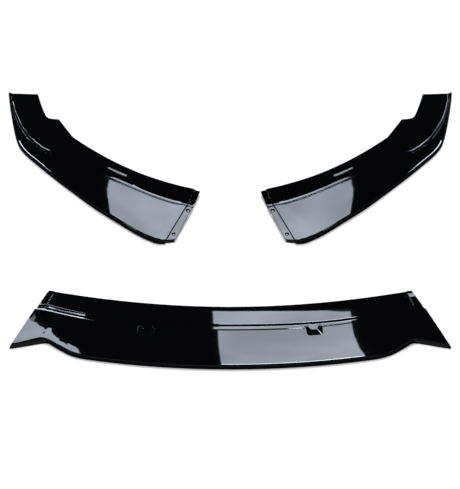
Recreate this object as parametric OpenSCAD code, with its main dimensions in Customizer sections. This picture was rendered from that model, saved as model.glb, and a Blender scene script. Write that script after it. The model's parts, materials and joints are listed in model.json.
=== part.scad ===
// Front splitter lip in three gloss moulded panels, laid out before they are joined:
// one centre panel in front and a mirrored pair of side panels behind it.
// Millimetres. X is across the car, +Y points to the rear, Z is up and the floor is at zero.

/* [Centre panel] */
// Width of the centre panel over its two wing tips
centre_width = 1082; // [900:1250]
// Depth of the centre panel from its front lip to its rear corners
centre_depth = 242; // [200:290]
// Height of the front lip above the floor at the middle
centre_lip_height = 11.5; // [9:16]
// Height of the rear mounting pad above the floor
pad_height = 9; // [7:12]
// Height of the blade above the pad, taken at the crease
blade_rise = 7; // [4:10]
// Depth of the groove between the pad and the blade
groove_depth = 2; // [1:3]
// Width of the flat foot of the groove, before the face rises to the blade
foot_width = 6.5; // [5:8]
// Distance of the two recesses from the middle of the panel
recess_offset = 204; // [120:280]
// Width of a recess at its rim
recess_width = 41; // [32:52]
// Depth of a recess from the crease of the blade to its front rim
recess_reach = 28; // [20:34]
// Slope of the recess floor, down to the front, in degrees
recess_slope = 5; // [3:6]

/* [Side panels] */
// Width of one side panel, from its joint seam to the outer end
side_width = 480; // [400:560]
// Depth of one side panel, from its front corner to the wheel-arch end
side_depth = 506; // [420:580]
// Height of the side lip above the floor
side_lip_height = 12; // [9:16]
// Height of the rear edge of a side panel above the floor
side_rear_height = 20; // [16:28]
// Distance from the middle of the car to the joint seam of a side panel, as laid out
side_offset = 90; // [70:160]
// Depth of the whole set as it is laid out, front lip to wheel-arch ends
layout_depth = 905; // [870:1100]

/* [Joint between the panels] */
// Width of the lowered flange that slides under the centre panel
flange_width = 17; // [13:24]
// Drop of the flange below the face of the side panel
flange_drop = 3.4; // [3.2:5]
// Distance between the two screw holes of a joint
screw_spacing = 84; // [70:95]
// Distance of the front screw hole from the front corner of the joint
screw_first = 33; // [26:40]
// Distance of the screw holes from the joint seam
screw_inset = 9.3; // [8:11]
// Diameter of the through hole in the flange
screw_hole = 6.4; // [5:7]
// Diameter of the funnel mouth above the through hole
hole_mouth = 11.6; // [10:12]
// Depth of the funnel mouth
mouth_depth = 1.7; // [1:2]
// Diameter of the pilot hole in the spigots under the wings
pilot_hole = 2.8; // [2:3.2]

/* [Material] */
// Wall thickness of the moulding
wall = 3; // [2.4:3.2]

/* [Hidden] */
$fn = 48;
gloss_black = [0.02, 0.02, 0.022];

// The main lines are drawn for the standard panels and stretched to the sizes above.
cx = centre_width / 1082;
cy = centre_depth / 242;
sx = side_width / 480;
sy = side_depth / 506;
centre_y = -layout_depth / 2 + 193.3 * cy;
side_y = layout_depth / 2 - 345.8 * sy;
// A hole is cut a little past both faces.
over = 1;

// Plain helpers: blend, unit vector, and a smooth run between two points with given headings.
function mix(a, b, t) = a + (b - a) * t;
function unit(v) = v / max(norm(v), 1e-9);
function flat(v) = [v[0], v[1]];
function heading(a) = [cos(a), sin(a)];
function run(p, q, t) =
    let (m = norm(flat(q) - flat(p)), out = len(p) > 4 ? p[4] : p[3],
         a = heading(out) * m, b = heading(q[3]) * m,
         xy = (2*t*t*t - 3*t*t + 1) * flat(p) + (t*t*t - 2*t*t + t) * a
            + (3*t*t - 2*t*t*t) * flat(q) + (t*t*t - t*t) * b)
    [xy[0], xy[1], mix(p[2], q[2], t)];
// One main line: its corner points joined by smooth runs, cut at the shared station places.
function line(points, cuts) =
    concat([for (k = [0:len(points)-2]) for (t = cuts[k]) run(points[k], points[k+1], t)],
           [run(points[len(points)-2], points[len(points)-1], 1)]);
function stretch(points, fx, fy) =
    [for (p = points) concat([p[0]*fx, p[1]*fy], [for (k = [2:len(p)-1]) p[k]])];
function even(n) = [for (k = [0:n-1]) k / n];

// Cross sections run from the rear edge to the foot of the front lip.
// r rear edge, p front edge of the pad, v groove, s crease of the blade, m rim, l lip foot.
function raise(p, dz) = [p[0], p[1], p[2] + dz];
function toward(p, q, d, dz) =
    let (f = unit(flat(q) - flat(p))) [p[0] + f[0]*d, p[1] + f[1]*d, p[2] + dz];
function blade_part(p, v, s, m, l, crown) =
    let (f = toward(v, s, min(foot_width, 0.4 * norm(flat(s) - flat(v))), 0), rise = s[2] - v[2]) [
    toward(p, v, -0.5, 0),
    mix(p, v, 0.4) - [0, 0, 0.08 * (p[2] - v[2])],
    toward(v, p, 1, 0),
    f,
    mix(f, s, 0.45) + [0, 0, -0.04 * rise],
    mix(f, s, 0.85) + [0, 0, 0.08 * rise],
    toward(s, m, 2, 0.5),
    mix(s, m, 0.36) + [0, 0, crown],
    mix(s, m, 0.7) + [0, 0, crown],
    toward(m, s, 4, 0.3),
    toward(m, s, 1.2, -0.3),
    [mix(m, l, 0.12)[0], mix(m, l, 0.12)[1], m[2] - 2.2],
    [mix(m, l, 0.55)[0], mix(m, l, 0.55)[1], m[2] * 0.5],
    [l[0], l[1], 0]];
function centre_section(r, p, v, s, m, l, foot) = concat(
    [[r[0], r[1], foot], toward(r, p, 0.4, 0.55 * (foot - r[2])), toward(r, p, 2, -1.5),
     toward(r, p, 6, -0.5), toward(r, p, 11, 0), mix(r, p, 0.5)],
    blade_part(p, v, s, m, l, 0.8));
function side_section(r, p, v, s, m, l) = concat(
    [raise(r, -0.8), toward(r, p, 1, 0), mix(r, p, 0.5) + [0, 0, -0.2]],
    blade_part(p, v, s, m, l, 0.8));

// Upward unit normal at station i, place j of a grid of points.
function normal_at(g, i, j) =
    let (n = len(g) - 1, k = len(g[0]) - 1,
         across = g[i][min(j + 1, k)] - g[i][max(j - 1, 0)],
         along = g[min(i + 1, n)][j] - g[max(i - 1, 0)][j])
    unit(cross(across, along));
function above_floor(p) = [p[0], p[1], max(p[2], 0)];

// A moulded shell: a grid of face points, an even wall under it, and a drop per station that
// lowers the face (over) and the back (under) for grooves and for the joint flange.
module shell(g, drop, under, rolled) {
    n = len(g);
    m = len(g[0]);
    face = [for (i = [0:n-1]) for (j = [0:m-1])
        above_floor(g[i][j] - normal_at(g, i, j) * drop[i][j])];
    back = [for (i = [0:n-1]) for (j = [0:m-1])
        j == m - 1 || (rolled && j < 2)
        ? let (d = unit(flat(normal_at(g, i, j))) * (wall + under[i][j]))
          [g[i][j][0] - d[0], g[i][j][1] - d[1], j < 2 ? g[i][0][2] : 0]
        : above_floor(g[i][j] - normal_at(g, i, j) * (wall + under[i][j]))];
    b = n * m;
    polyhedron(points = concat(face, back), convexity = 8, faces = concat(
        [for (i = [0:n-2]) for (j = [0:m-2]) for (k = [0, 1]) let (a = i*m + j)
            k == 0 ? [a, a + m, a + m + 1] : [a, a + m + 1, a + 1]],
        [for (i = [0:n-2]) for (j = [0:m-2]) for (k = [0, 1]) let (a = b + i*m + j)
            k == 0 ? [a, a + m + 1, a + m] : [a, a + 1, a + m + 1]],
        [for (i = [0:n-2]) for (e = [0, m-1]) for (k = [0, 1]) let (a = i*m + e, c = b + a)
            e == 0 ? (k == 0 ? [a, c, c + m] : [a, c + m, a + m])
                   : (k == 0 ? [a, a + m, c + m] : [a, c + m, c])],
        [for (e = [0, n-1]) for (j = [0:m-2]) for (k = [0, 1]) let (a = e*m + j, c = b + a)
            e == 0 ? (k == 0 ? [a, a + 1, c + 1] : [a, c + 1, c])
                   : (k == 0 ? [a, c + 1, a + 1] : [a, c, c + 1])]));
}

// Main lines of the right half of the centre panel: x, y, height, heading (and a new heading).
// The rear middle is the origin. Points: middle, before the corner, after it, both sides of
// the notch, end of the pad, joint line.
crease = pad_height + blade_rise;
pad_lift = 2.6;
centre_cuts = [even(8), even(4), even(2), even(4), [0, 0.55, 0.86, 0.93], even(2)];
centre_rear = stretch([[0, 0, pad_height, 0], [350, 30.9, pad_height + 1.4, 10],
    [385, 37, pad_height + 1.8, 11], [411, 41.8, pad_height + 2.2, 11],
    [420, 43.4, pad_height + 2.3, 11], [434, 45.6, pad_height + pad_lift + 0.8, 9],
    [447.5, 46.7, pad_height + 5.2, 6]], cx, cy);
centre_groove = stretch([[0, -66, pad_height, 0], [350, -34.6, pad_height + 1.2, 14],
    [392, -23.6, pad_height + 1.6, 16], [425, -14.4, pad_height + 2, 17],
    [438, -10.6, pad_height + 2.2, 17], [454.5, -5, pad_height + pad_lift, 17, 0],
    [476, -4.4, pad_height + 2.2, 0]], cx, cy);
centre_crease = stretch([[0, -82, crease, 0], [350, -47.6, crease, 14], [394, -36, crease - 0.3, 15],
    [428, -25.6, crease - 0.7, 16], [441, -21.4, crease - 1, 16], [459.6, -15.8, crease - 1.6, 16, 2],
    [480.5, -11.6, crease - 2.4, 6]], cx, cy);
centre_rim = stretch([[0, -189.7, centre_lip_height, 0], [350, -159.2, centre_lip_height, 10],
    [399, -141.6, centre_lip_height + 0.5, 31], [441, -112.6, centre_lip_height + 1.2, 34],
    [466, -104.9, centre_lip_height + 1.2, -9], [504, -115.3, centre_lip_height, -14],
    [536.6, -123.2, centre_lip_height - 1, -11]], cx, cy);
centre_lip = stretch([[0, -193.3, 0, 0], [352, -162.7, 0, 10],
    [402, -144.5, 0, 31], [443, -114.4, 0, 36],
    [466, -114, 0, -9], [505, -122.6, 0, -12],
    [540.5, -129, 0, -9]], cx, cy);

function centre_row(k) =
    let (r = line(centre_rear, centre_cuts)[k], v = line(centre_groove, centre_cuts)[k],
         s = line(centre_crease, centre_cuts)[k], m = line(centre_rim, centre_cuts)[k],
         l = line(centre_lip, centre_cuts)[k], f = unit(flat(r) - flat(v)))
    centre_section(r, [v[0] + f[0]*7.5, v[1] + f[1]*7.5, v[2]], v - [0, 0, groove_depth], s, m, l,
                   k > pad_end ? r[2] - 3.2 : 0);
half_rows = len(line(centre_rear, centre_cuts)) - 1;
// The pad and the rolled rear edge stop at a groove across the strip, just before the joint line.
pad_end = half_rows - 3;
centre_half = [for (k = [0:half_rows]) centre_row(k)];
function mirrored(row) = [for (p = row) [-p[0], p[1], p[2]]];
centre_grid = concat([for (k = [half_rows:-1:1]) mirrored(centre_half[k])], centre_half);

function pad_drop(i, j) =
    let (k = abs(i - half_rows) - pad_end) j < 1 || j > 7 || k < 0 ? 0 : k == 0 ? groove_depth * 0.9 : 0.3;

// Joint line of the centre panel and the two screw places beside it.
joint_tip = flat(centre_lip[6]);
joint_dir = unit(flat(centre_crease[6]) - joint_tip);
function centre_screw(n) =
    joint_tip + joint_dir * (screw_first + n * screw_spacing)
    + [-joint_dir[1], joint_dir[0]] * screw_inset;

// Recess through the riser: a floor at the level of the groove, a long front slope up to the
// rim and leaning side walls. Its rings are the floor and the mouth, the mouth above the blade.
recess_floor = pad_height - groove_depth - 0.9;
recess_foot = 1.4;
recess_mouth = crease + 6;
rim_share = (crease + 0.6 - recess_floor) / (recess_mouth - recess_floor);
function past_rim(low, rim) = low + (rim - low) / rim_share;
function recess_ring(half, rear_half, front, rear, r, z, slope) = [
    for (p = concat([[rear_half, rear]],
        [for (k = [0:6]) [half - r + r * cos(15 * k), front + r - r * sin(15 * k)]],
        [for (k = [6:-1:0]) [-half + r - r * cos(15 * k), front + r - r * sin(15 * k)]],
        [[-rear_half, rear]])) [p[0], p[1], z + slope * p[1]]];
module ring_loft(low, high) {
    n = len(low);
    polyhedron(points = concat(low, high), convexity = 3, faces = concat(
        [[for (k = [n - 1:-1:0]) k], [for (k = [0:n - 1]) n + k]],
        [for (k = [0:n - 1]) for (e = [0, 1]) let (q = (k + 1) % n)
            k < n / 2 ? (e == 0 ? [k, q, n + k] : [q, n + q, n + k])
                      : (e == 0 ? [k, q, n + q] : [k, n + q, n + k])]));
}
module recess(floor_out, mouth_out, front_out, deep) {
    half = recess_width * 0.22;
    rear_half = recess_width * 0.37;
    ring_loft(
        recess_ring(half + floor_out, rear_half + floor_out, recess_foot - floor_out * 0.6,
                    14 + floor_out, 2.5 + floor_out, recess_floor - deep, tan(recess_slope)),
        recess_ring(past_rim(half, recess_width / 2) + mouth_out, past_rim(half, recess_width / 2) + mouth_out,
                    past_rim(recess_foot, -recess_reach) - front_out, 20 + mouth_out, 12 + mouth_out,
                    recess_mouth, 0));
}
// Narrow flat ledge along the front of the recess floor.
module recess_ledge() {
    wide = recess_width * 0.38;
    translate([-wide / 2, recess_foot - 2.4, recess_floor + tan(recess_slope) * recess_foot])
        cube([wide, 2.4, 3]);
}
// A recess is turned with the crease it cuts through.
function crease_at(x) = run(centre_crease[0], centre_crease[1], x / centre_crease[1][0]);
module at_recess(side) {
    here = crease_at(recess_offset);
    beside = crease_at(recess_offset + 5);
    translate([side * here[0], here[1], 0])
        rotate([0, 0, side * atan2(beside[1] - here[1], beside[0] - here[0])]) children();
}
// Block that keeps the tray of a recess a little under the blade, the riser and the foot.
module tray_room() {
    foot_z = pad_height - groove_depth;
    rise = crease - foot_z;
    ramp = (centre_groove[0][1] - centre_crease[0][1]) - foot_width;
    front = -recess_reach - 14;
    rotate([90, 0, 90]) linear_extrude(recess_width * 2, center = true)
        polygon([[front, 0], [front, crease - 1.4], [-0.5, crease - 1.4],
                 [0.15 * ramp, foot_z + 0.9 * rise - 1.6], [0.55 * ramp, foot_z + 0.4 * rise - 2],
                 [ramp, foot_z - 1.4], [ramp + 2, foot_z - 1.4], [ramp + 2, 0]]);
}

// A spigot under the wing: it drops through the flange hole and takes the screw from below.
// Its head is where the back of the wing is, between the rim and the crease of the joint line.
function wing_back(n) =
    mix(centre_rim[6][2], centre_crease[6][2], (screw_first + n * screw_spacing) / 126) + 0.7 - wall;
spigot_length = 3.2;
module spigot(n) {
    p = centre_screw(n);
    translate([p[0], p[1], wing_back(n) - spigot_length]) cylinder(d = screw_hole - 0.4, h = spigot_length);
    translate([p[0], p[1], wing_back(n) - mouth_depth])
        cylinder(d1 = screw_hole - 0.4, d2 = hole_mouth - 0.8, h = mouth_depth);
    translate([p[0], p[1], wing_back(n) - 0.01]) cylinder(d = hole_mouth - 0.8, h = wall * 0.5);
}
module pilot(n) {
    p = centre_screw(n);
    translate([p[0], p[1], wing_back(n) - spigot_length - over])
        cylinder(d = pilot_hole, h = spigot_length + over + wall * 0.45);
}

module centre_panel() {
    none = [for (row = centre_grid) [for (p = row) 0]];
    color(gloss_black) translate([0, centre_y, 0]) difference() {
        union() {
            shell(centre_grid, [for (i = [0:len(centre_grid)-1]) [for (j = [0:len(centre_grid[0])-1])
                pad_drop(i, j)]], none, true);
            for (side = [-1, 1]) {
                // Tray that forms the walls and floor of a recess, kept under the face of the blade.
                intersection() {
                    at_recess(side) recess(wall * 0.4, wall * 1.5, wall * 2.8, wall);
                    at_recess(side) tray_room();
                }
                for (n = [0, 1]) mirror([side < 0 ? 1 : 0, 0, 0]) spigot(n);
            }
        }
        for (side = [-1, 1]) {
            at_recess(side) {
                recess(0, 0, 0, 0);
                recess_ledge();
            }
            for (n = [0, 1]) mirror([side < 0 ? 1 : 0, 0, 0]) pilot(n);
        }
    }
}

// Main lines of the right side panel, from the joint seam (origin at its rear corner) outward.
// Points: flange end, seam, front corner, two along the blade, break of the rear edge,
// corner of the arch cut, foot of the cut, straight tab, wheel-arch end.
side_cuts = [[0, 0.5, 0.965], [0, 0.2, 0.45, 0.7], even(5), even(4), even(4), even(3), even(3), even(2), even(5)];
h = side_rear_height;
fw = flange_width / 17;
side_rear = stretch([[-13.8 * fw, 6, 14.3, 18], [0, 10.5, 14.4, 19], [40, 22, h * 0.76, 18],
    [150, 66.5, h * 0.93, 28], [250, 130, h, 37], [311, 180.5, h, 42, 57], [349, 241.5, h, 58, 8],
    [376, 247.5, h - 2, 25, 30], [385, 261.5, h - 2, 70], [405, 330, h - 3, 76]], sx, sy);
side_pad = stretch([[-4 * fw, -22, 11.4, 20], [9, -15.5, 11.4, 20], [46, -4, 11.2, 20],
    [155, 46, h * 0.6, 29], [256, 108, h * 0.66, 34], [319, 150, h * 0.7, 36], [369, 191, h * 0.7, 40],
    [391, 213, h * 0.7, 48], [403, 229, h * 0.7, 56], [464, 336, h * 0.66, 82]], sx, sy);
side_groove = stretch([[2 * fw, -38.5, 9.1, 15], [17.5, -37, 9, 15], [52, -25.9, 8.6, 21],
    [160, 27.2, 8.5, 30], [262, 88.2, 8.5, 30], [330, 127.6, 8.5, 30], [387, 162, 8.5, 42],
    [407, 181.5, 8.5, 49], [418, 197, 8.8, 54], [470.5, 337, 12.2, 88]], sx, sy);
side_crease = stretch([[4 * fw, -44.5, 13.2, 12], [19.8, -43.5, 13.5, 12], [56, -36, 13.5, 20],
    [165, 17.8, 13.5, 30], [268, 74, 13.5, 30], [338, 114.8, 13.5, 30], [398, 151, 13.5, 43],
    [420, 175.5, 13.2, 52], [432, 191, 13, 57], [473.6, 337.6, 12.6, 88]], sx, sy);
rim_at = side_lip_height;
side_rim = stretch([[49 - 0.5 * fw, -153, rim_at - 1.5, -12], [72, -156, rim_at - 1, -6], [99.5, -153.2, rim_at, 24],
    [213.5, -73.8, rim_at, 37], [328, 31, rim_at, 43.5], [403, 107.5, rim_at, 47],
    [442.5, 155, rim_at, 61], [454.3, 187, rim_at, 76], [460, 212, rim_at - 0.2, 79],
    [481, 343, rim_at - 1, 84]], sx, sy);
side_lip = stretch([[50 - 0.5 * fw, -157.5, 0, -12], [74, -160.5, 0, -5], [102, -156.6, 0, 25],
    [215, -75.4, 0, 37], [330, 28.8, 0, 43.5], [405.5, 106, 0, 47],
    [445, 154.5, 0, 61], [456.8, 186.6, 0, 76], [462.5, 211.6, 0, 79],
    [482.3, 345.5, 0, 84]], sx, sy);
side_grid = let (r = line(side_rear, side_cuts), p = line(side_pad, side_cuts),
                 v = line(side_groove, side_cuts), s = line(side_crease, side_cuts),
                 m = line(side_rim, side_cuts), l = line(side_lip, side_cuts))
    [for (k = [0:len(r)-1]) side_section(r[k], p[k], v[k], s[k], m[k], l[k])];
// The flange is lowered at both faces; the back goes down a little earlier to keep the wall.
function flange_face(i) = i < 3 ? flange_drop : 0;
function flange_back(i) = i < 4 ? flange_drop : i == 4 ? flange_drop * 0.5 : 0;

// Screw places on the flange, measured from the front corner of the seam like those of the wing.
seam_tip = flat(side_lip[1]);
seam_dir = unit(flat(side_crease[1]) - seam_tip);
function side_screw(n) =
    seam_tip + seam_dir * (screw_first + n * screw_spacing) + [-seam_dir[1], seam_dir[0]] * screw_inset;

function flange_top(n) =
    mix(side_rim[1][2], side_crease[1][2], (screw_first + n * screw_spacing) / 126) + 0.7 - flange_drop;
module flange_hole(n) {
    p = side_screw(n);
    translate([p[0], p[1], -over]) cylinder(d = screw_hole, h = 20);
    translate([p[0], p[1], flange_top(n) - mouth_depth]) cylinder(d1 = screw_hole, d2 = hole_mouth, h = mouth_depth);
    translate([p[0], p[1], flange_top(n) - 0.01]) cylinder(d = hole_mouth, h = 8);
}

module side_panel() {
    difference() {
        shell(side_grid,
              [for (i = [0:len(side_grid)-1]) [for (p = side_grid[i]) flange_face(i)]],
              [for (i = [0:len(side_grid)-1]) [for (p = side_grid[i]) flange_back(i)]], false);
        for (n = [0, 1]) flange_hole(n);
    }
}

module right_side_panel() {
    color(gloss_black) translate([side_offset, side_y, 0]) side_panel();
}

module left_side_panel() {
    color(gloss_black) mirror([1, 0, 0]) translate([side_offset, side_y, 0]) side_panel();
}

centre_panel();
left_side_panel();
right_side_panel();
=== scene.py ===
"""Front splitter lip: three moulded panels in gloss black plastic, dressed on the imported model.

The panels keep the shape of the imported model. Here their edges are rounded, their faces are
smoothed and polished, their backs get the duller skin of a moulding, and a plain pale floor with
soft light cards and a camera is put round them. Lengths are metres, X across the car, Y to the
rear, Z up, and the floor is at zero.
"""

import json
import math

import bmesh
import bpy
from bpy.props import FloatProperty, FloatVectorProperty, IntProperty, PointerProperty
from mathutils import Matrix, Vector
from mathutils.bvhtree import BVHTree


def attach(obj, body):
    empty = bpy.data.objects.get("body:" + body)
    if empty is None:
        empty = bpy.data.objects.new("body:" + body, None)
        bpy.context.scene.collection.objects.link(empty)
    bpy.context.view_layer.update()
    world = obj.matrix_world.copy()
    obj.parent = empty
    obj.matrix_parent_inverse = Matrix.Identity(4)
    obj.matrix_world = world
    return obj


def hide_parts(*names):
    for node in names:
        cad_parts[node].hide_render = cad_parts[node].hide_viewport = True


bl_info = {
    "name": "Front Splitter Lip",
    "version": (1, 0, 0),
    "blender": (4, 5, 0),
    "location": "3D View > Sidebar > Splitter",
    "description": "Dresses the moulded panels of a front splitter lip and lights them",
    "category": "Object",
}

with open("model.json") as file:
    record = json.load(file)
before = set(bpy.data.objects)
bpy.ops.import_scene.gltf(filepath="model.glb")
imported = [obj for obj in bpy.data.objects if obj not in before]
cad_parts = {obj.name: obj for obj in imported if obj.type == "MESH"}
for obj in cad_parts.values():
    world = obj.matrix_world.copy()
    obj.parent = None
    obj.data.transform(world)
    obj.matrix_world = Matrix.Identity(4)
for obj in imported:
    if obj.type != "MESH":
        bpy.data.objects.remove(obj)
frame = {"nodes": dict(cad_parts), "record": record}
SLOT = "gloss_black"
# The black in the photo is about half as light as the plastic of the record
SHADE = 0.5
PLASTIC = tuple(
    SHADE * c
    for c in next(m["base_color"] for m in frame["record"]["materials"] if m["slot"] == SLOT)[:3]
)
PLASTIC_IOR = 1.5

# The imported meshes: corners this near are one, and triangles that turn less are joined
WELD = 0.00002
JOIN_TURN = math.radians(12)
JOIN_SHAPE = math.radians(70)
# A face's normal points up by more than the first on the polished side, by less than the second
# on the back
POLISHED_UP = 0.03
BACK_UP = -0.25
# Edges that turn more than this keep a crease in the shading
CREASE_TURN = math.radians(38)
WALL_ROUNDS = 2
# The slope at the rear outline of the centre panel faces rearwards by more than this
SLOPE_REARWARD = 0.45
# The recesses of the centre panel: middle, half width and rear end
RECESS_MIDDLE = 0.204
RECESS_HALF = 0.03
RECESS_REAR = -0.3


# Sizes and colours


class SplitterEdges(bpy.types.PropertyGroup):
    face_round: FloatProperty(
        name="Face edge rounding",
        description="Rounding of the creases, the rim and the recess edges on the polished face",
        default=0.0007,
        min=0.0002,
        max=0.002,
        unit="LENGTH",
        subtype="DISTANCE",
    )
    wall_round: FloatProperty(
        name="Wall edge rounding",
        description="Rounding of the cut edges of the wall, the holes and the floor edges",
        default=0.0003,
        min=0.0001,
        max=0.001,
        unit="LENGTH",
        subtype="DISTANCE",
    )
    face_turn: FloatProperty(
        name="Face edge turn",
        description="Edges of the face that turn more than this are rounded",
        default=math.radians(10),
        min=math.radians(5),
        max=math.radians(40),
        subtype="ANGLE",
    )
    wall_turn: FloatProperty(
        name="Wall edge turn",
        description="Other edges that turn more than this are rounded",
        default=math.radians(48),
        min=math.radians(30),
        max=math.radians(80),
        subtype="ANGLE",
    )
    rounds: IntProperty(
        name="Rounding steps",
        description="Faces across one rounded edge",
        default=3,
        min=1,
        max=5,
    )


class SplitterFinish(bpy.types.PropertyGroup):
    plastic: FloatVectorProperty(
        name="Plastic",
        description="Colour of the black plastic",
        default=PLASTIC,
        min=0.0,
        max=1.0,
        subtype="COLOR",
    )
    gloss: FloatProperty(
        name="Face roughness",
        description="Roughness of the polished face",
        default=0.02,
        min=0.0,
        max=0.5,
        subtype="FACTOR",
    )
    back_gloss: FloatProperty(
        name="Back roughness",
        description="Roughness of the unpolished back",
        default=0.34,
        min=0.1,
        max=0.8,
        subtype="FACTOR",
    )
    sink: FloatProperty(
        name="Sink waves",
        description="Height of the long waves that cooling leaves in the face",
        default=0.000016,
        min=0.0,
        max=0.0002,
        unit="LENGTH",
    )
    peel: FloatProperty(
        name="Peel",
        description="Height of the fine ripple of the gloss",
        default=0.0000003,
        min=0.0,
        max=0.00005,
        unit="LENGTH",
    )
    dust: FloatProperty(
        name="Dust",
        description="Share of the face that fine dust dulls",
        default=0.12,
        min=0.0,
        max=1.0,
        subtype="FACTOR",
    )


class SplitterStudio(bpy.types.PropertyGroup):
    height_angle: FloatProperty(
        name="Camera height",
        description="Angle of the camera above the floor",
        default=math.radians(50),
        min=0.0,
        max=math.radians(90),
        subtype="ANGLE",
    )
    distance: FloatProperty(
        name="Camera distance",
        description="Distance from the camera to the middle of the set",
        default=10.0,
        min=2.0,
        max=20.0,
        unit="LENGTH",
        subtype="DISTANCE",
    )
    lens: FloatProperty(
        name="Lens",
        description="Focal length in millimetres",
        default=294.5,
        min=35.0,
        max=400.0,
    )
    card_distance: FloatProperty(
        name="Card distance",
        description="Distance of the light cards from the middle of the set",
        default=2.0,
        min=1.0,
        max=5.0,
        unit="LENGTH",
        subtype="DISTANCE",
    )
    card_light: FloatVectorProperty(
        name="Card light",
        description="Brightness and tint of the light cards",
        default=(6.6, 7.3, 8.4),
        min=0.0,
        soft_max=20.0,
        subtype="COLOR",
    )
    back_light: FloatProperty(
        name="Back light",
        description="Strength of the broad light from behind that lights the floor",
        default=3.2,
        min=0.0,
        max=10.0,
    )
    back_light_height: FloatProperty(
        name="Back light height",
        description="Angle of the back light above the floor",
        default=math.radians(48),
        min=math.radians(10),
        max=math.radians(90),
        subtype="ANGLE",
    )
    back_light_spread: FloatProperty(
        name="Back light spread",
        description="Angle that the back light fills, which softens the shadows",
        default=math.radians(24),
        min=0.0,
        max=math.radians(90),
        subtype="ANGLE",
    )
    room_light: FloatProperty(
        name="Room light",
        description="Strength of the even light on the set",
        default=0.3,
        min=0.0,
        max=2.0,
    )
    floor: FloatVectorProperty(
        name="Floor",
        description="Colour of the floor",
        default=(0.8, 0.8, 0.8),
        min=0.0,
        max=1.0,
        subtype="COLOR",
    )
    floor_white: FloatProperty(
        name="Floor white",
        description="White that the camera sees on top of the lit floor",
        default=0.3,
        min=0.0,
        max=1.0,
        subtype="FACTOR",
    )


# Shared node groups


def new_group(name, inputs, outputs):
    group = bpy.data.node_groups.new(name, "ShaderNodeTree")
    for label, kind, value in inputs:
        socket = group.interface.new_socket(name=label, in_out="INPUT", socket_type=kind)
        if value is not None:
            socket.default_value = value
    for label, kind in outputs:
        group.interface.new_socket(name=label, in_out="OUTPUT", socket_type=kind)
    return group, group.nodes.new("NodeGroupInput"), group.nodes.new("NodeGroupOutput")


def noise(nodes, scale, detail=2.0, rough=0.5, distortion=0.0):
    node = nodes.new("ShaderNodeTexNoise")
    node.inputs["Scale"].default_value = scale
    node.inputs["Detail"].default_value = detail
    node.inputs["Roughness"].default_value = rough
    node.inputs["Distortion"].default_value = distortion
    return node


def step(nodes, start, end, at_start=0.0, at_end=1.0):
    """A soft step from one value to another, between a start and an end that may lie below it."""
    node = nodes.new("ShaderNodeMapRange")
    node.interpolation_type = "SMOOTHSTEP"
    node.inputs["From Min"].default_value = start
    node.inputs["From Max"].default_value = end
    node.inputs["To Min"].default_value = at_start
    node.inputs["To Max"].default_value = at_end
    return node


def maths(nodes, operation, value=None):
    node = nodes.new("ShaderNodeMath")
    node.operation = operation
    if value is not None:
        node.inputs[1].default_value = value
    return node


def vector_maths(nodes, operation, value=None):
    node = nodes.new("ShaderNodeVectorMath")
    node.operation = operation
    if value is not None:
        node.inputs[1].default_value = value
    return node


# The Mix node's sockets for each kind of value: first, second and result
MIX_SOCKETS = {"FLOAT": (2, 3, 0), "RGBA": (6, 7, 2)}


def blend(nodes, links, kind, share, first, second):
    """The socket of a Mix node that goes from the first to the second with the share."""
    node = nodes.new("ShaderNodeMix")
    node.data_type = kind
    first_at, second_at, result_at = MIX_SOCKETS[kind]
    links.new(share, node.inputs["Factor"])
    links.new(first, node.inputs[first_at])
    links.new(second, node.inputs[second_at])
    return node.outputs[result_at]


def moulded_skin_group():
    """Height of a moulded face: long sink waves and a fine peel."""
    group, given, out = new_group(
        "Moulded skin",
        [
            ("Place", "NodeSocketVector", None),
            ("Sink", "NodeSocketFloat", 0.00001),
            ("Peel", "NodeSocketFloat", 0.000001),
        ],
        [("Height", "NodeSocketFloat")],
    )
    nodes, links = group.nodes, group.links
    waves = noise(nodes, scale=22.0, detail=2.0, rough=0.45)
    ripple = noise(nodes, scale=420.0, detail=1.0, rough=0.5)
    big = maths(nodes, "MULTIPLY")
    small = maths(nodes, "MULTIPLY")
    both = maths(nodes, "ADD")
    links.new(given.outputs["Place"], waves.inputs["Vector"])
    links.new(given.outputs["Place"], ripple.inputs["Vector"])
    links.new(waves.outputs["Fac"], big.inputs[0])
    links.new(given.outputs["Sink"], big.inputs[1])
    links.new(ripple.outputs["Fac"], small.inputs[0])
    links.new(given.outputs["Peel"], small.inputs[1])
    links.new(big.outputs[0], both.inputs[0])
    links.new(small.outputs[0], both.inputs[1])
    links.new(both.outputs[0], out.inputs["Height"])
    return group


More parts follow.
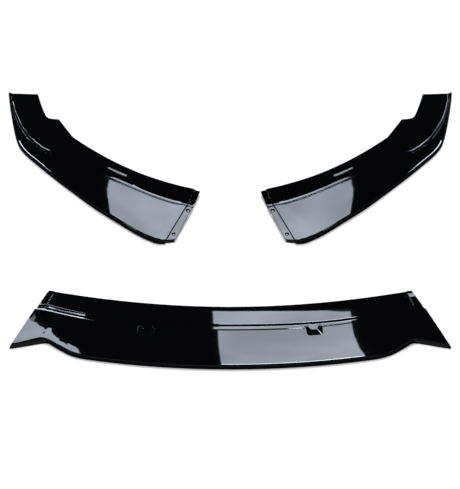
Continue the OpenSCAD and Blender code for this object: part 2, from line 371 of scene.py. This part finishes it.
def dust_group():
    """A thin veil of dust and wipe marks: the colour and the roughness that it leaves."""
    group, given, out = new_group(
        "Dust veil",
        [
            ("Place", "NodeSocketVector", None),
            ("Amount", "NodeSocketFloat", 0.1),
            ("Plastic", "NodeSocketColor", (0.0, 0.0, 0.0, 1.0)),
            ("Dust", "NodeSocketColor", (0.004, 0.004, 0.0045, 1.0)),
            ("Clean", "NodeSocketFloat", 0.02),
            ("Dull", "NodeSocketFloat", 0.09),
        ],
        [("Color", "NodeSocketColor"), ("Roughness", "NodeSocketFloat")],
    )
    nodes, links = group.nodes, group.links
    clouds = noise(nodes, scale=9.0, detail=4.0, rough=0.6, distortion=0.4)
    wipes_map = nodes.new("ShaderNodeMapping")
    wipes_map.inputs["Rotation"].default_value = (0.0, 0.0, math.radians(24))
    wipes_map.inputs["Scale"].default_value = (6.0, 70.0, 6.0)
    wipes = noise(nodes, scale=2.0, detail=3.0, rough=0.6)
    specks = nodes.new("ShaderNodeTexVoronoi")
    specks.inputs["Scale"].default_value = 260.0
    cloud_step = step(nodes, start=0.42, end=0.75)
    wipe_step = step(nodes, start=0.5, end=0.72)
    speck_step = step(nodes, start=0.10, end=0.04)
    veil = maths(nodes, "MULTIPLY")
    spots = maths(nodes, "MULTIPLY")
    total = maths(nodes, "ADD")
    share = maths(nodes, "MULTIPLY")
    share.use_clamp = True
    for node in (clouds, wipes_map, specks):
        links.new(given.outputs["Place"], node.inputs["Vector"])
    links.new(wipes_map.outputs[0], wipes.inputs["Vector"])
    links.new(clouds.outputs["Fac"], cloud_step.inputs["Value"])
    links.new(wipes.outputs["Fac"], wipe_step.inputs["Value"])
    links.new(specks.outputs["Distance"], speck_step.inputs["Value"])
    links.new(cloud_step.outputs[0], veil.inputs[0])
    links.new(wipe_step.outputs[0], veil.inputs[1])
    links.new(speck_step.outputs[0], spots.inputs[0])
    links.new(cloud_step.outputs[0], spots.inputs[1])
    links.new(veil.outputs[0], total.inputs[0])
    links.new(spots.outputs[0], total.inputs[1])
    links.new(total.outputs[0], share.inputs[0])
    links.new(given.outputs["Amount"], share.inputs[1])
    given_colours = given.outputs["Plastic"], given.outputs["Dust"]
    given_roughness = given.outputs["Clean"], given.outputs["Dull"]
    colour = blend(nodes, links, "RGBA", share.outputs[0], *given_colours)
    rough = blend(nodes, links, "FLOAT", share.outputs[0], *given_roughness)
    links.new(colour, out.inputs["Color"])
    links.new(rough, out.inputs["Roughness"])
    return group


def wear_group():
    """Rubbed edges: how much an outer edge has lost its polish."""
    group, given, out = new_group(
        "Rubbed edges",
        [
            ("Place", "NodeSocketVector", None),
            ("Roughness", "NodeSocketFloat", 0.05),
            ("Worn", "NodeSocketFloat", 0.16),
        ],
        [("Roughness", "NodeSocketFloat")],
    )
    nodes, links = group.nodes, group.links
    geometry = nodes.new("ShaderNodeNewGeometry")
    edge = step(nodes, start=0.53, end=0.62)
    breaks = noise(nodes, scale=55.0, detail=3.0, rough=0.6)
    broken = step(nodes, start=0.5, end=0.66)
    mask = maths(nodes, "MULTIPLY")
    links.new(geometry.outputs["Pointiness"], edge.inputs["Value"])
    links.new(given.outputs["Place"], breaks.inputs["Vector"])
    links.new(breaks.outputs["Fac"], broken.inputs["Value"])
    links.new(edge.outputs[0], mask.inputs[0])
    links.new(broken.outputs[0], mask.inputs[1])
    given_roughness = given.outputs["Roughness"], given.outputs["Worn"]
    rough = blend(nodes, links, "FLOAT", mask.outputs[0], *given_roughness)
    links.new(rough, out.inputs["Roughness"])
    return group


def ejector_group():
    """Round marks that ejector pins leave on the back of a moulding, in rows, as a height."""
    group, given, out = new_group(
        "Ejector marks",
        [("Place", "NodeSocketVector", None), ("Pitch", "NodeSocketFloat", 0.11)],
        [("Height", "NodeSocketFloat")],
    )
    nodes, links = group.nodes, group.links
    in_plan = (1.0, 1.0, 0.0)
    plan = vector_maths(nodes, "MULTIPLY", in_plan)
    cell = nodes.new("ShaderNodeCombineXYZ")
    cell.inputs["Z"].default_value = 1.0
    wrap = vector_maths(nodes, "WRAP")
    wrap.inputs[2].default_value = (0.0, 0.0, -1.0)
    flat_cell = vector_maths(nodes, "MULTIPLY", in_plan)
    middle = vector_maths(nodes, "SCALE")
    middle.inputs["Scale"].default_value = 0.5
    apart = vector_maths(nodes, "DISTANCE")
    disc = step(nodes, start=0.0042, end=0.0048, at_start=1.0, at_end=0.0)
    for axis in ("X", "Y"):
        links.new(given.outputs["Pitch"], cell.inputs[axis])
    links.new(given.outputs["Place"], plan.inputs[0])
    links.new(plan.outputs[0], wrap.inputs[0])
    links.new(cell.outputs[0], wrap.inputs[1])
    links.new(cell.outputs[0], flat_cell.inputs[0])
    links.new(flat_cell.outputs[0], middle.inputs[0])
    links.new(wrap.outputs[0], apart.inputs[0])
    links.new(middle.outputs[0], apart.inputs[1])
    links.new(apart.outputs["Value"], disc.inputs["Value"])
    links.new(disc.outputs[0], out.inputs["Height"])
    return group


def finish_groups():
    return {
        "skin": moulded_skin_group(),
        "dust": dust_group(),
        "wear": wear_group(),
        "pins": ejector_group(),
    }


# Materials


def new_material(name, empty=False):
    material = bpy.data.materials.new(name)
    material.use_nodes = True
    tree = material.node_tree
    if empty:
        tree.nodes.clear()
    return material, tree.nodes, tree.links


def use_group(nodes, group, **values):
    node = nodes.new("ShaderNodeGroup")
    node.node_tree = group
    for label, value in values.items():
        node.inputs[label].default_value = value
    return node


def bump_in_metres(nodes):
    bump = nodes.new("ShaderNodeBump")
    bump.inputs["Distance"].default_value = 1.0
    return bump


def gloss_black_face(groups, finish, name, turn):
    """Polished black face of the moulding: sink waves, peel, a little dust and rubbed edges."""
    material, nodes, links = new_material(name)
    shader = nodes["Principled BSDF"]
    shader.inputs["IOR"].default_value = PLASTIC_IOR
    place = nodes.new("ShaderNodeTexCoord")
    mapping = nodes.new("ShaderNodeMapping")
    mapping.inputs["Rotation"].default_value = (0.0, 0.0, turn)
    plastic = (*finish.plastic, 1.0)
    dust = use_group(
        nodes, groups["dust"], Amount=finish.dust, Plastic=plastic, Clean=finish.gloss
    )
    worn = use_group(nodes, groups["wear"])
    skin = use_group(nodes, groups["skin"], Sink=finish.sink, Peel=finish.peel)
    bump = bump_in_metres(nodes)
    links.new(place.outputs["Object"], mapping.inputs["Vector"])
    for node in (dust, worn, skin):
        links.new(mapping.outputs[0], node.inputs["Place"])
    links.new(dust.outputs["Color"], shader.inputs["Base Color"])
    links.new(dust.outputs["Roughness"], worn.inputs["Roughness"])
    links.new(worn.outputs["Roughness"], shader.inputs["Roughness"])
    links.new(skin.outputs["Height"], bump.inputs["Height"])
    links.new(bump.outputs["Normal"], shader.inputs["Normal"])
    return material


# The back of a moulding: how much lighter its colour is, how much duller its dust, how much of
# it the dust covers, and the heights of the tool's lay and of the ejector marks
BACK_LIGHTER = 2.2
BACK_DUST_DULLER = 0.16
BACK_DUST = 0.5
LAY_HEIGHT = 0.000006
EJECTOR_HEIGHT = -0.00012


def moulding_back(groups, finish, name):
    """Back of the moulding: duller, with the cutter's lay of the tool and ejector marks."""
    material, nodes, links = new_material(name)
    shader = nodes["Principled BSDF"]
    shader.inputs["IOR"].default_value = PLASTIC_IOR
    place = nodes.new("ShaderNodeTexCoord")
    plastic = tuple(min(1.0, BACK_LIGHTER * c) for c in finish.plastic)
    dust = use_group(
        nodes,
        groups["dust"],
        Amount=BACK_DUST,
        Plastic=(*plastic, 1.0),
        Clean=finish.back_gloss,
        Dull=finish.back_gloss + BACK_DUST_DULLER,
    )
    pins = use_group(nodes, groups["pins"])
    lay_map = nodes.new("ShaderNodeMapping")
    lay_map.inputs["Scale"].default_value = (12.0, 900.0, 12.0)
    lay = noise(nodes, scale=1.0, detail=2.0, rough=0.5)
    lay_height = maths(nodes, "MULTIPLY", LAY_HEIGHT)
    pin_height = maths(nodes, "MULTIPLY", EJECTOR_HEIGHT)
    total = maths(nodes, "ADD")
    bump = bump_in_metres(nodes)
    for node in (dust.inputs["Place"], pins.inputs["Place"], lay_map.inputs["Vector"]):
        links.new(place.outputs["Object"], node)
    links.new(lay_map.outputs[0], lay.inputs["Vector"])
    links.new(lay.outputs["Fac"], lay_height.inputs[0])
    links.new(pins.outputs["Height"], pin_height.inputs[0])
    links.new(lay_height.outputs[0], total.inputs[0])
    links.new(pin_height.outputs[0], total.inputs[1])
    links.new(total.outputs[0], bump.inputs["Height"])
    links.new(dust.outputs["Color"], shader.inputs["Base Color"])
    links.new(dust.outputs["Roughness"], shader.inputs["Roughness"])
    links.new(bump.outputs["Normal"], shader.inputs["Normal"])
    return material


# Meshes and objects


def mesh_data(name, mesh, materials):
    """Mesh data from a bmesh, which is freed."""
    data = bpy.data.meshes.new(name)
    mesh.to_mesh(data)
    mesh.free()
    for material in materials:
        data.materials.append(material)
    return data


def add_object(name, data):
    thing = bpy.data.objects.new(name, data)
    bpy.context.scene.collection.objects.link(thing)
    return thing


# Panels


def edge_turn(edge):
    return edge.calc_face_angle(0.0) if len(edge.link_faces) == 2 else 0.0


def polished(face):
    return face.normal.z > POLISHED_UP


def on_face(edge):
    return all(polished(face) for face in edge.link_faces)


def on_rear_outline(edge):
    """An edge of the narrow slope at the rear outline of the centre panel, outside the recesses."""
    middle = 0.5 * (edge.verts[0].co + edge.verts[1].co)
    beside = abs(abs(middle.x) - RECESS_MIDDLE)
    in_recess = beside < RECESS_HALF and middle.y < RECESS_REAR
    return any(face.normal.y > SLOPE_REARWARD for face in edge.link_faces) and not in_recess


def round_edges(mesh, edges, width, steps):
    bmesh.ops.bevel(
        mesh,
        geom=edges,
        offset=width,
        offset_type="OFFSET",
        affect="EDGES",
        segments=steps,
        profile=0.5,
        material=-1,
        clamp_overlap=False,
        miter_outer="SHARP",
        miter_inner="SHARP",
    )


def set_back(mesh, surface, reach):
    """Corners that the rounding of a narrow place threw off the moulding go back on its surface."""
    for vert in mesh.verts:
        place, _, _, off = surface.find_nearest(vert.co)
        if off > reach:
            vert.co = place
        vert.co.z = max(vert.co.z, 0.0)


def dress_panel(node, name, edges, materials):
    """A copy of one imported panel with rounded edges and smooth faces; it stands for that node."""
    mesh = bmesh.new()
    mesh.from_mesh(frame["nodes"][node].data)
    bmesh.ops.remove_doubles(mesh, verts=mesh.verts, dist=WELD)
    surface = BVHTree.FromBMesh(mesh)
    bmesh.ops.join_triangles(
        mesh,
        faces=mesh.faces,
        angle_face_threshold=JOIN_TURN,
        angle_shape_threshold=JOIN_SHAPE,
    )
    centre = node == "centre_panel"
    sharp_face = [
        edge
        for edge in mesh.edges
        if on_face(edge)
        and edge_turn(edge) > edges.face_turn
        and not (centre and on_rear_outline(edge))
    ]
    round_edges(mesh, sharp_face, edges.face_round, edges.rounds)
    sharp_wall = [
        edge
        for edge in mesh.edges
        if not on_face(edge)
        and edge_turn(edge) > edges.wall_turn
        and any(polished(face) for face in edge.link_faces)
    ]
    round_edges(mesh, sharp_wall, edges.wall_round, WALL_ROUNDS)
    set_back(mesh, surface, 0.5 * edges.face_round)
    for face in mesh.faces:
        face.smooth = True
        face.material_index = 1 if face.normal.z < BACK_UP else 0
    for edge in mesh.edges:
        crisp = centre and edge_turn(edge) > edges.face_turn and on_rear_outline(edge)
        edge.smooth = edge_turn(edge) < CREASE_TURN and not crisp
    panel = add_object(name, mesh_data(name, mesh, materials))
    even = panel.modifiers.new("Even shading", "WEIGHTED_NORMAL")
    even.mode = "FACE_AREA"
    even.weight = 50
    even.keep_sharp = True
    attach(panel, "root")
    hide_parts(node)


# The finish of each panel, and the angle that turns its pattern along the panel
FINISH_TURNS = (("Centre", 0.0), ("Left", -0.6), ("Right", 0.6))


class SPLITTER_OT_finishes(bpy.types.Operator):
    """Mix the black plastic: the polished face of each panel and the duller back"""

    bl_idname = "splitter.finishes"
    bl_label = "Mix Finishes"

    def execute(self, context):
        finish = context.scene.splitter_finish
        groups = finish_groups()
        for side, turn in FINISH_TURNS:
            gloss_black_face(groups, finish, side + " gloss black", turn)
        moulding_back(groups, finish, "Moulding back")
        return {"FINISHED"}


class SPLITTER_OT_centre_panel(bpy.types.Operator):
    """Dress the centre panel with its recesses and winged ends"""

    bl_idname = "splitter.centre_panel"
    bl_label = "Dress Centre Panel"

    def execute(self, context):
        finishes = [bpy.data.materials[n] for n in ("Centre gloss black", "Moulding back")]
        dress_panel("centre_panel", "centre_moulding", context.scene.splitter_edges, finishes)
        return {"FINISHED"}


class SPLITTER_OT_side_panels(bpy.types.Operator):
    """Dress the left and right side panels with their screw flanges"""

    bl_idname = "splitter.side_panels"
    bl_label = "Dress Side Panels"

    def execute(self, context):
        edges = context.scene.splitter_edges
        for side in ("Left", "Right"):
            finishes = [bpy.data.materials[n] for n in (side + " gloss black", "Moulding back")]
            low = side.lower()
            dress_panel(low + "_side_panel", low + "_moulding", edges, finishes)
        return {"FINISHED"}


# Studio

ACROSS = Vector((1.0, 0.0, 0.0))
# What the cards are turned to, and what the camera is aimed at
CARD_AIM = Vector((0.0, -0.0105, 0.0))
CAMERA_AIM = Vector((-0.0008, -0.0545, 0.0))
# Each card hangs this much behind the one before
CARD_GAP = 0.001
CARD_LEVELS = {"Soft": 1.0, "Bright": 2.2, "Line": 6.0}
CARD_CLOUD = 0.22
FLOOR_HALF = 8.0
CAMERA_REACH = 50.0
ROOM_TINT = (0.97, 0.98, 1.0, 1.0)
GLOW_TINT = (0.9, 0.95, 1.0, 1.0)
GLOW = 0.3
# The floor's colour as the gloss shows it
DIM_FLOOR = (0.05, 0.05, 0.055, 1.0)


def card_material(name, tint, strength):
    """Light of a card, with soft clouds in it; other cards are seen through it."""
    material, nodes, links = new_material(name, empty=True)
    out = nodes.new("ShaderNodeOutputMaterial")
    light = nodes.new("ShaderNodeEmission")
    light.inputs["Color"].default_value = (*tint, 1.0)
    place = nodes.new("ShaderNodeTexCoord")
    clouds = noise(nodes, scale=3.2, detail=2.0, rough=0.5)
    dark_cloud, light_cloud = strength * (1.0 - CARD_CLOUD), strength * (1.0 + CARD_CLOUD)
    level = step(nodes, start=0.3, end=0.7, at_start=dark_cloud, at_end=light_cloud)
    clear = nodes.new("ShaderNodeBsdfTransparent")
    both = nodes.new("ShaderNodeAddShader")
    links.new(place.outputs["Object"], clouds.inputs["Vector"])
    links.new(clouds.outputs["Fac"], level.inputs["Value"])
    links.new(level.outputs[0], light.inputs["Strength"])
    links.new(light.outputs[0], both.inputs[0])
    links.new(clear.outputs[0], both.inputs[1])
    links.new(both.outputs[0], out.inputs["Surface"])
    return material


def light_only(light, thing):
    """Light the one thing alone."""
    lit = bpy.data.collections.new(light.name + " lights")
    lit.objects.link(thing)
    light.light_linking.receiver_collection = lit


def light_card(name, corners, studio, material, panel, behind):
    """A flat card of light, turned to the middle of the set, that only one panel mirrors.

    The corners are in the card's own plane, which is as high behind the set as the camera is
    in front of it.
    """
    angle = studio.height_angle
    out = Vector((0.0, math.cos(angle), math.sin(angle)))
    up = Vector((0.0, -math.sin(angle), math.cos(angle)))
    middle = CARD_AIM + out * (studio.card_distance + CARD_GAP * behind)
    mesh = bmesh.new()
    mesh.faces.new([mesh.verts.new(middle + ACROSS * x + up * y) for x, y in corners])
    card = add_object(name, mesh_data(name, mesh, [material]))
    card.visible_camera = False
    card.visible_shadow = False
    light_only(card, bpy.data.objects[panel])


# Light cards: name, brightness and corners. The side ones are for the left panel.
CENTRE_CARDS = (
    (
        "centre_card",
        "Soft",
        [
            (-0.040, 0.190), (0.030, 0.190), (0.110, 0.203), (0.196, 0.229), (0.288, 0.258),
            (0.352, 0.264), (0.356, 0.330), (0.388, 0.450), (0.398, 0.500), (0.420, 0.600),
            (0.446, 0.700), (0.450, 0.732), (-0.028, 0.772), (-0.038, 0.500),
        ],
    ),
    (
        "centre_rim_card",
        "Line",
        [(-0.028, 0.774), (0.450, 0.734), (0.490, 1.000), (-0.032, 1.040)],
    ),
    (
        "centre_crease_card",
        "Line",
        [(-0.022, -1.600), (0.222, -1.600), (0.190, -2.200), (-0.014, -2.200)],
    ),
    (
        "wing_card",
        "Soft",
        [
            (-0.800, 0.520), (-0.790, 0.262), (-0.722, 0.268), (-0.716, 0.312), (-0.700, 0.325),
            (-0.684, 0.360), (-0.669, 0.390), (-0.640, 0.418), (-0.625, 0.448), (-0.6145, 0.452),
            (-0.6095, 0.452), (-0.6085, 0.548), (-0.590, 0.566), (-0.575, 0.570), (-0.560, 0.588),
            (-0.545, 0.602), (-0.520, 0.618), (-0.508, 0.640), (-0.503, 0.695), (-0.820, 0.688),
        ],
    ),
    (
        "wing_rim_card",
        "Bright",
        [(-0.820, 0.690), (-0.505, 0.700), (-0.560, 0.950), (-0.820, 0.950)],
    ),
    (
        "wing_foot_card",
        "Bright",
        [
            (-0.900, 1.520), (-0.840, 1.558), (-0.780, 1.588), (-0.740, 1.610), (-0.740, 1.640),
            (-0.900, 1.600),
        ],
    ),
    (
        "wing_crease_card",
        "Bright",
        [(-0.610, -0.880), (-0.262, -0.880), (-0.243, -1.330), (-0.560, -1.330)],
    ),
    (
        "left_recess_card",
        "Line",
        [(-1.350, 0.400), (-1.000, 0.400), (-1.000, 0.600), (-1.350, 0.600)],
    ),
    (
        "right_recess_card",
        "Line",
        [(1.000, 0.630), (1.350, 0.620), (1.350, 0.760), (1.000, 0.790)],
    ),
)
SIDE_CARDS = (
    (
        "_card",
        "Soft",
        [
            (-0.431, 0.078), (-0.420, 0.030), (-0.412, 0.000), (-0.405, -0.030), (-0.397, -0.060),
            (-0.385, -0.090), (-0.374, -0.120), (-0.290, -0.093), (-0.221, -0.066),
            (-0.181, -0.053), (-0.134, -0.022), (0.020, 0.000), (0.020, 0.330), (-0.100, 0.284),
            (-0.150, 0.232), (-0.235, 0.178), (-0.300, 0.140), (-0.392, 0.090),
        ],
    ),
    (
        "_foot_card",
        "Soft",
        [
            (-0.350, -0.190), (-0.350, -0.115), (-0.290, -0.095), (-0.221, -0.068),
            (-0.181, -0.055), (-0.140, -0.028), (-0.150, -0.070), (-0.250, -0.160),
            (-0.340, -0.196),
        ],
    ),
    (
        "_pad_card",
        "Soft",
        [
            (-0.930, 0.790), (-0.895, 0.820), (-0.825, 0.840), (-0.760, 0.725), (-0.800, 0.715),
            (-0.885, 0.730),
        ],
    ),
    (
        "_rim_card",
        "Bright",
        [
            (-0.431, 0.080), (-0.392, 0.092), (-0.353, 0.109), (-0.300, 0.142), (-0.238, 0.178),
            (-0.255, 0.205), (-0.300, 0.215), (-0.527, 0.215),
        ],
    ),
    (
        "_corner_card",
        "Bright",
        [(-0.140, 0.320), (-0.020, 0.340), (0.040, 1.050), (-0.110, 1.050)],
    ),
    (
        "_crease_card",
        "Soft",
        [(-0.095, -0.780), (0.300, -0.780), (0.300, -1.020), (-0.105, -1.020)],
    ),
    (
        "_arch_rim_card",
        "Line",
        [
            (-1.400, -0.100), (-1.120, -0.100), (-1.150, 0.100), (-1.090, 0.330), (-1.100, 0.400),
            (-1.150, 0.440), (-1.400, 0.440),
        ],
    ),
    (
        "_arch_foot_card",
        "Line",
        [
            (-0.660, -0.425), (-0.645, -0.340), (-0.625, -0.285), (-0.600, -0.255),
            (-0.575, -0.235), (-0.545, -0.222), (-0.545, -0.250), (-0.570, -0.270),
            (-0.596, -0.300), (-0.618, -0.345), (-0.632, -0.425),
        ],
    ),
)


def hang_cards(studio):
    """Hang the cards of each panel; those of the right side panel mirror those of the left."""
    levels = {
        level: card_material(level + " card", studio.card_light, strength)
        for level, strength in CARD_LEVELS.items()
    }
    cards = [(name, level, corners, "centre") for name, level, corners in CENTRE_CARDS]
    for name, level, corners in SIDE_CARDS:
        mirrored = [(-x, y) for x, y in corners]
        cards.append(("left" + name, level, corners, "left"))
        cards.append(("right" + name, level, mirrored, "right"))
    for behind, (name, level, corners, side) in enumerate(cards):
        light_card(name, corners, studio, levels[level], side + "_moulding", behind)


def pale_floor(studio):
    """Pale floor: white to the camera with the contact shadow kept, dim in the black gloss."""
    material, nodes, links = new_material("Pale floor", empty=True)
    out = nodes.new("ShaderNodeOutputMaterial")
    paint = nodes.new("ShaderNodeBsdfDiffuse")
    paint.inputs["Color"].default_value = (*studio.floor, 1.0)
    dim = nodes.new("ShaderNodeBsdfDiffuse")
    dim.inputs["Color"].default_value = DIM_FLOOR
    white = nodes.new("ShaderNodeEmission")
    white.inputs["Strength"].default_value = studio.floor_white
    path = nodes.new("ShaderNodeLightPath")
    seen = nodes.new("ShaderNodeAddShader")
    mirror = nodes.new("ShaderNodeMixShader")
    pick = nodes.new("ShaderNodeMixShader")
    links.new(paint.outputs[0], seen.inputs[0])
    links.new(white.outputs[0], seen.inputs[1])
    links.new(path.outputs["Is Glossy Ray"], mirror.inputs["Fac"])
    links.new(paint.outputs[0], mirror.inputs[1])
    links.new(dim.outputs[0], mirror.inputs[2])
    links.new(path.outputs["Is Camera Ray"], pick.inputs["Fac"])
    links.new(mirror.outputs[0], pick.inputs[1])
    links.new(seen.outputs[0], pick.inputs[2])
    links.new(pick.outputs[0], out.inputs["Surface"])
    return material


def lay_floor(studio):
    mesh = bmesh.new()
    bmesh.ops.create_grid(mesh, x_segments=1, y_segments=1, size=FLOOR_HALF)
    floor = add_object("studio_floor", mesh_data("studio_floor", mesh, [pale_floor(studio)]))
    return floor


def back_light(studio, floor):
    """A broad light from behind that lights the floor alone; the panels throw their shadows."""
    lamp = bpy.data.lights.new("studio_back_light", "SUN")
    lamp.energy = studio.back_light
    lamp.angle = studio.back_light_spread
    light = add_object("studio_back_light", lamp)
    light.rotation_euler = (studio.back_light_height - math.radians(90), 0.0, 0.0)
    light_only(light, floor)


def front_glow(nodes, links):
    """Strength of a faint glow low in the front of the room, by direction."""
    room = nodes.new("ShaderNodeTexCoord")
    axes = nodes.new("ShaderNodeSeparateXYZ")
    forward = maths(nodes, "MULTIPLY", -1.0)
    glow = step(nodes, start=0.1, end=0.7, at_start=0.0, at_end=GLOW)
    low = step(nodes, start=0.75, end=0.35)
    strength = maths(nodes, "MULTIPLY")
    links.new(room.outputs["Generated"], axes.inputs[0])
    links.new(axes.outputs["Y"], forward.inputs[0])
    links.new(forward.outputs[0], glow.inputs["Value"])
    links.new(axes.outputs["Z"], low.inputs["Value"])
    links.new(glow.outputs[0], strength.inputs[0])
    links.new(low.outputs[0], strength.inputs[1])
    return strength.outputs[0]


def studio_world(studio):
    """White behind the set, soft even light on it, and in the gloss a dark room.

    The glow in the front of the room shows in the gloss when it is seen from behind.
    """
    world = bpy.context.scene.world or bpy.data.worlds.new("Studio")
    bpy.context.scene.world = world
    world.use_nodes = True
    nodes, links = world.node_tree.nodes, world.node_tree.links
    nodes.clear()
    out = nodes.new("ShaderNodeOutputWorld")
    soft = nodes.new("ShaderNodeBackground")
    soft.inputs["Color"].default_value = ROOM_TINT
    soft.inputs["Strength"].default_value = studio.room_light
    dark = nodes.new("ShaderNodeBackground")
    dark.inputs["Color"].default_value = GLOW_TINT
    white = nodes.new("ShaderNodeBackground")
    white.inputs["Color"].default_value = (1.0, 1.0, 1.0, 1.0)
    path = nodes.new("ShaderNodeLightPath")
    gloss = nodes.new("ShaderNodeMixShader")
    seen = nodes.new("ShaderNodeMixShader")
    links.new(front_glow(nodes, links), dark.inputs["Strength"])
    links.new(path.outputs["Is Glossy Ray"], gloss.inputs["Fac"])
    links.new(soft.outputs[0], gloss.inputs[1])
    links.new(dark.outputs[0], gloss.inputs[2])
    links.new(path.outputs["Is Camera Ray"], seen.inputs["Fac"])
    links.new(gloss.outputs[0], seen.inputs[1])
    links.new(white.outputs[0], seen.inputs[2])
    links.new(seen.outputs[0], out.inputs["Surface"])


def studio_camera(studio):
    """Camera in front of the set, at the photo's viewing angle."""
    angle = studio.height_angle
    ahead = Vector((0.0, math.cos(angle), -math.sin(angle)))
    up = Vector((0.0, math.sin(angle), math.cos(angle)))
    lens = bpy.data.cameras.new("studio_camera")
    lens.lens = studio.lens
    lens.clip_end = CAMERA_REACH
    camera = add_object("studio_camera", lens)
    turn = Matrix((ACROSS, up, -ahead)).transposed().to_4x4()
    camera.matrix_world = Matrix.Translation(CAMERA_AIM - ahead * studio.distance) @ turn
    bpy.context.scene.camera = camera


class SPLITTER_OT_studio(bpy.types.Operator):
    """Lay the pale floor, hang the light cards and set up the camera"""

    bl_idname = "splitter.studio"
    bl_label = "Set Up Studio"

    def execute(self, context):
        studio = context.scene.splitter_studio
        context.scene.view_settings.view_transform = "Standard"
        studio_world(studio)
        floor = lay_floor(studio)
        back_light(studio, floor)
        hang_cards(studio)
        studio_camera(studio)
        return {"FINISHED"}


class SPLITTER_PT_sidebar(bpy.types.Panel):
    """Sizes, finish and studio of the splitter lip"""

    bl_idname = "SPLITTER_PT_sidebar"
    bl_label = "Front Splitter Lip"
    bl_space_type = "VIEW_3D"
    bl_region_type = "UI"
    bl_category = "Splitter"

    def draw(self, context):
        layout = self.layout
        for group in ("splitter_edges", "splitter_finish", "splitter_studio"):
            box = layout.box()
            settings = getattr(context.scene, group)
            for label in settings.bl_rna.properties.keys():
                if label not in ("rna_type", "name"):
                    box.prop(settings, label)
        for job in ("finishes", "centre_panel", "side_panels", "studio"):
            layout.operator("splitter." + job)


CLASSES = (
    SplitterEdges,
    SplitterFinish,
    SplitterStudio,
    SPLITTER_OT_finishes,
    SPLITTER_OT_centre_panel,
    SPLITTER_OT_side_panels,
    SPLITTER_OT_studio,
    SPLITTER_PT_sidebar,
)


def register():
    for cls in CLASSES:
        bpy.utils.register_class(cls)
    bpy.types.Scene.splitter_edges = PointerProperty(type=SplitterEdges)
    bpy.types.Scene.splitter_finish = PointerProperty(type=SplitterFinish)
    bpy.types.Scene.splitter_studio = PointerProperty(type=SplitterStudio)


def unregister():
    del bpy.types.Scene.splitter_studio
    del bpy.types.Scene.splitter_finish
    del bpy.types.Scene.splitter_edges
    for cls in reversed(CLASSES):
        bpy.utils.unregister_class(cls)


def main():
    register()
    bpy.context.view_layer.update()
    bpy.ops.splitter.finishes()
    bpy.ops.splitter.centre_panel()
    bpy.ops.splitter.side_panels()
    bpy.ops.splitter.studio()


if __name__ == "__main__":
    main()
